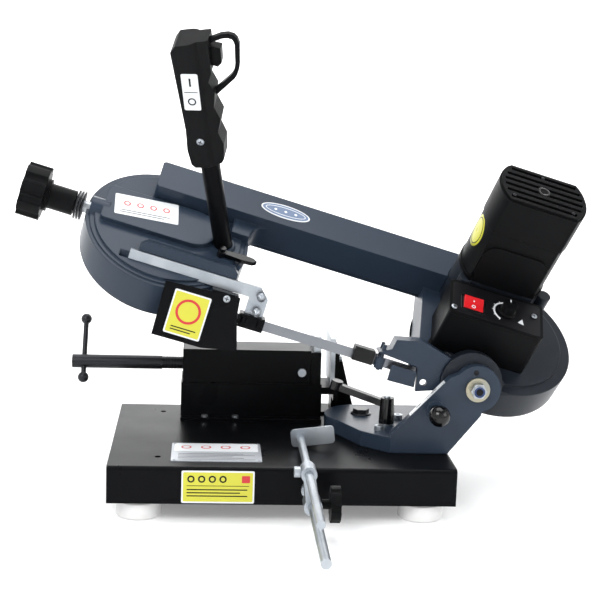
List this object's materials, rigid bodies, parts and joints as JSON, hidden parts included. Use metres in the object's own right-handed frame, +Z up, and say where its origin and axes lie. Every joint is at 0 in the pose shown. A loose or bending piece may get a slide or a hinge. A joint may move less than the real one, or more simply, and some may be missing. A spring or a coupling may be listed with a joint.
{
  "type": "band saw",
  "caption": "Portable swivel-head metal band saw: tilted wheels in a C frame, motor, guides and grip, hinged on a swivel arm over a tray base with a screw vise.",
  "frame": {"origin": "on the floor, below the middle of the machine's bounding box, within 5 mm", "axes": "+X along the front of the base towards the hinge, +Y away from the operator, +Z up"},
  "size_m": [0.7393, 0.559, 0.5947],
  "materials": {
    "black_paint": "semi-gloss black paint",
    "frame_paint": "smooth blue-grey paint on die-cast aluminium",
    "housing_paint": "dark grey paint on die-cast aluminium",
    "zinc": "bright zinc plate",
    "yellow_zinc": "yellowish zinc plate",
    "steel": "bare steel",
    "spring_steel": "rolled spring steel",
    "cast": "machined casting",
    "alu": "thin aluminium plate",
    "black_plastic": "fine matt black plastic",
    "gloss_black": "gloss black plastic",
    "grip_rubber": "ribbed soft grip",
    "foot_rubber": "white rubber",
    "red_plastic": "gloss red plastic",
    "copper": "wound copper and laminations",
    "gear_brass": "bronze gear"
  },
  "bodies": {
    "base": {"base_tray": "black_paint", "feet": "foot_rubber", "foot_bolts": "zinc", "data_plate": "alu", "vise_bed": "black_paint", "vise_bed_bolts": "steel", "fixed_jaw_bracket": "black_paint", "fixed_jaw_plate": "zinc", "stop_rod": "zinc", "swivel_bolt": "zinc"},
    "moving_jaw": {"moving_jaw": "black_paint", "moving_jaw_plate": "black_paint", "jaw_bolt": "zinc"},
    "vise_screw": {"vise_screw": "steel"},
    "vise_bar": {"vise_bar": "zinc"},
    "stop_clamp": {"stop_clamp": "zinc", "stop_clamp_bolt": "zinc"},
    "stop_arm": {"stop_arm": "zinc"},
    "stop_knob": {"stop_knob": "black_plastic"},
    "swivel_arm": {"swivel_arm": "frame_paint", "arm_bolts": "zinc", "lock_stud": "zinc"},
    "lock_lever": {"lock_lever": "gloss_black"},
    "lock_pin": {"lock_pin": "gloss_black"},
    "head": {"head_frame": "frame_paint", "drive_housing": "housing_paint", "blade_cover": "black_paint", "cover_screws": "zinc", "shaft_bearings": "steel", "slider_cover": "frame_paint", "gear_case": "housing_paint", "motor_body": "black_plastic", "motor_cap": "black_plastic", "control_box": "black_plastic", "control_panel": "black_plastic", "right_guide": "black_paint", "handle_tube": "black_paint", "handle_grip": "grip_rubber", "handle_guard": "black_paint", "hinge_bolt": "zinc", "hinge_spacer": "yellow_zinc", "hinge_nut": "zinc", "blade": "spring_steel"},
    "drive": {"drive_wheel": "cast", "drive_shaft": "steel", "output_gear": "gear_brass"},
    "lay": {"lay_gears": "steel"},
    "rotor": {"motor_rotor": "copper"},
    "tension_slider": {"tension_slider": "steel"},
    "idler": {"idler_wheel": "cast"},
    "tension_knob": {"tension_knob": "black_plastic", "tension_screw": "steel", "spring_washers": "steel"},
    "guide_bar": {"guide_bar": "zinc", "left_guide": "black_paint", "blade_guard": "black_paint"},
    "guide_lever": {"guide_lever": "gloss_black"},
    "rocker": {"rocker_switch": "red_plastic"},
    "speed_knob": {"speed_knob": "black_plastic"},
    "trigger": {"trigger": "black_plastic"}
  },
  "joints": [
    {"name": "jaw_slide", "type": "slide", "parent": "base", "child": "moving_jaw", "axis": [1, 0, 0], "range_m": [-0.06, 0.012]},
    {"name": "vise_screw_turn", "type": "hinge", "parent": "moving_jaw", "child": "vise_screw", "pos_m": [-0.238, 0.234, 0.1415], "axis": [1, 0, 0], "range_deg": [-5400, 1080]},
    {"name": "vise_bar_slide", "type": "slide", "parent": "vise_screw", "child": "vise_bar", "axis": [0, 0.5736, 0.8192], "range_m": [-0.045, 0.005]},
    {"name": "stop_clamp_slide", "type": "slide", "parent": "base", "child": "stop_clamp", "axis": [0, 1, 0], "range_m": [-0.15, 0.03]},
    {"name": "stop_arm_slide", "type": "slide", "parent": "stop_clamp", "child": "stop_arm", "axis": [0, 1, 0], "range_m": [-0.06, 0.03]},
    {"name": "stop_knob_turn", "type": "hinge", "parent": "stop_clamp", "child": "stop_knob", "pos_m": [0.022, -0.084, 0.0445], "axis": [1, 0, 0], "range_deg": [-360, 0]},
    {"name": "swivel", "type": "hinge", "parent": "base", "child": "swivel_arm", "pos_m": [0.092, 0.162, 0.091], "axis": [0, 0, 1], "range_deg": [0, 45]},
    {"name": "lock_lever_turn", "type": "hinge", "parent": "swivel_arm", "child": "lock_lever", "pos_m": [0.12, 0.109, 0.1], "axis": [0, 0, 1], "range_deg": [-40, 15]},
    {"name": "lock_pin_pull", "type": "slide", "parent": "swivel_arm", "child": "lock_pin", "axis": [0, -1, 0], "range_m": [0, 0.012], "stiffness_N_per_m": 300},
    {"name": "head_hinge", "type": "hinge", "parent": "swivel_arm", "child": "head", "pos_m": [0.2255, 0.049, 0.1563], "axis": [0, 1, 0], "range_deg": [-20, 29], "stiffness_Nm_per_rad": 60, "springref_deg": 23.43},
    {"name": "drive_wheel_turn", "type": "hinge", "parent": "head", "child": "drive", "pos_m": [0.26081, 0.15538, 0.19234], "axis": [0.2299, -0.5519, 0.8016], "continuous": true},
    {"name": "lay_gears_turn", "type": "hinge", "parent": "head", "child": "lay", "pos_m": [0.2816, 0.16284, 0.24141], "axis": [0.2299, -0.5519, 0.8016], "continuous": true},
    {"name": "rotor_turn", "type": "hinge", "parent": "head", "child": "rotor", "pos_m": [0.2675, 0.13769, 0.29551], "axis": [0.2299, -0.5519, 0.8016], "continuous": true},
    {"name": "tension_slide", "type": "slide", "parent": "head", "child": "tension_slider", "axis": [0.9613, 0, -0.2756], "range_m": [0, 0.004]},
    {"name": "idler_wheel_turn", "type": "hinge", "parent": "tension_slider", "child": "idler", "pos_m": [-0.17849, 0.15538, 0.31831], "axis": [0.2299, -0.5519, 0.8016], "continuous": true},
    {"name": "tension_knob_turn", "type": "hinge", "parent": "tension_slider", "child": "tension_knob", "pos_m": [-0.33492, 0.14324, 0.38225], "axis": [0.9613, 0, -0.2756], "range_deg": [0, 720]},
    {"name": "guide_bar_slide", "type": "slide", "parent": "head", "child": "guide_bar", "axis": [0.9613, 0, -0.2756], "range_m": [-0.008, 0.07]},
    {"name": "guide_lever_turn", "type": "hinge", "parent": "head", "child": "guide_lever", "pos_m": [-0.10296, 0.11605, 0.31323], "axis": [0.2299, -0.5519, 0.8016], "range_deg": [-24, 10]},
    {"name": "rocker_press", "type": "hinge", "parent": "head", "child": "rocker", "pos_m": [0.21966, 0.07236, 0.25925], "axis": [0.9613, 0, -0.2756], "range_deg": [-15, 0]},
    {"name": "speed_turn", "type": "hinge", "parent": "head", "child": "speed_knob", "pos_m": [0.26398, 0.07459, 0.25057], "axis": [0.2299, -0.5519, 0.8016], "range_deg": [0, 270]},
    {"name": "trigger_pull", "type": "slide", "parent": "head", "child": "trigger", "axis": [-0.9613, 0, 0.2756], "range_m": [0, 0.0035], "stiffness_N_per_m": 400}
  ],
  "couplings": [
    {"joint": "vise_screw_turn", "follows": "jaw_slide", "rad_per_m": 1570.8},
    {"joint": "lay_gears_turn", "follows": "drive_wheel_turn", "ratio": -4},
    {"joint": "rotor_turn", "follows": "drive_wheel_turn", "ratio": 19.2},
    {"joint": "idler_wheel_turn", "follows": "drive_wheel_turn", "ratio": 1},
    {"joint": "tension_knob_turn", "follows": "tension_slide", "rad_per_m": 3141.6}
  ]
}
